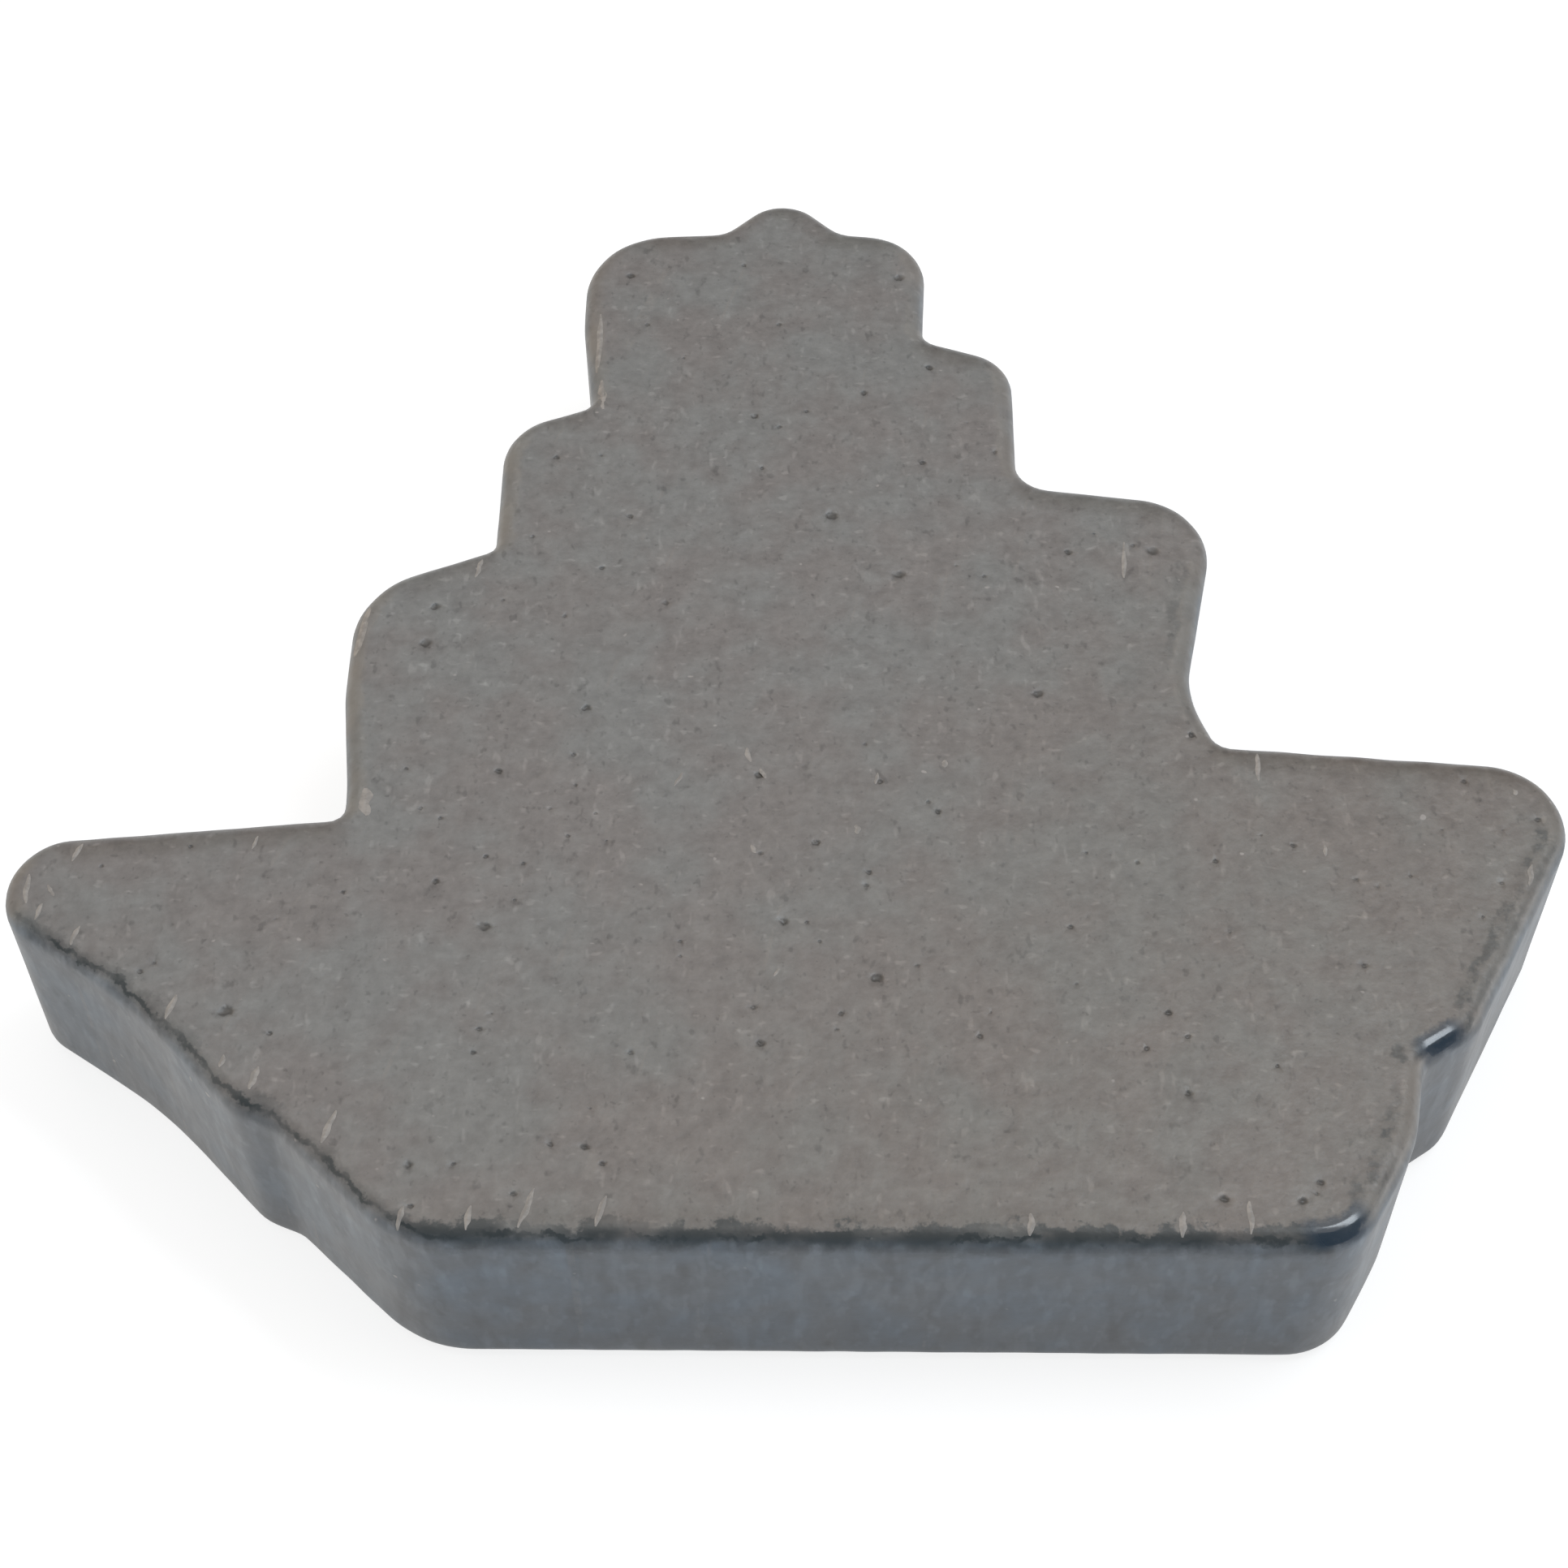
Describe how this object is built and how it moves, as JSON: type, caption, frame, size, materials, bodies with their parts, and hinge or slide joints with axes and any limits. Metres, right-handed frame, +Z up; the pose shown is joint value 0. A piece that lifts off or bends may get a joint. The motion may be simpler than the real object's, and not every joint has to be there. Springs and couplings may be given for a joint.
{
  "type": "game token",
  "caption": "Flat wooden sailing-ship token with stepped sails and a rounded rim, lacquered grey; marks a ship on a game board.",
  "frame": {"origin": "middle of the token's own box, on the face it lies on", "axes": "+X from the bow to the stern, +Y from the keel to the masthead, +Z up through the thickness"},
  "size_m": [0.0352, 0.0308, 0.0055],
  "materials": {
    "wood": "sawn end grain, tumbled smooth",
    "lacquer": "satin grey lacquer with open pores and a thicker dark line along the rim"
  },
  "bodies": {
    "root": {"wood_blank": "wood", "lacquer_coat": "lacquer"}
  },
  "joints": []
}
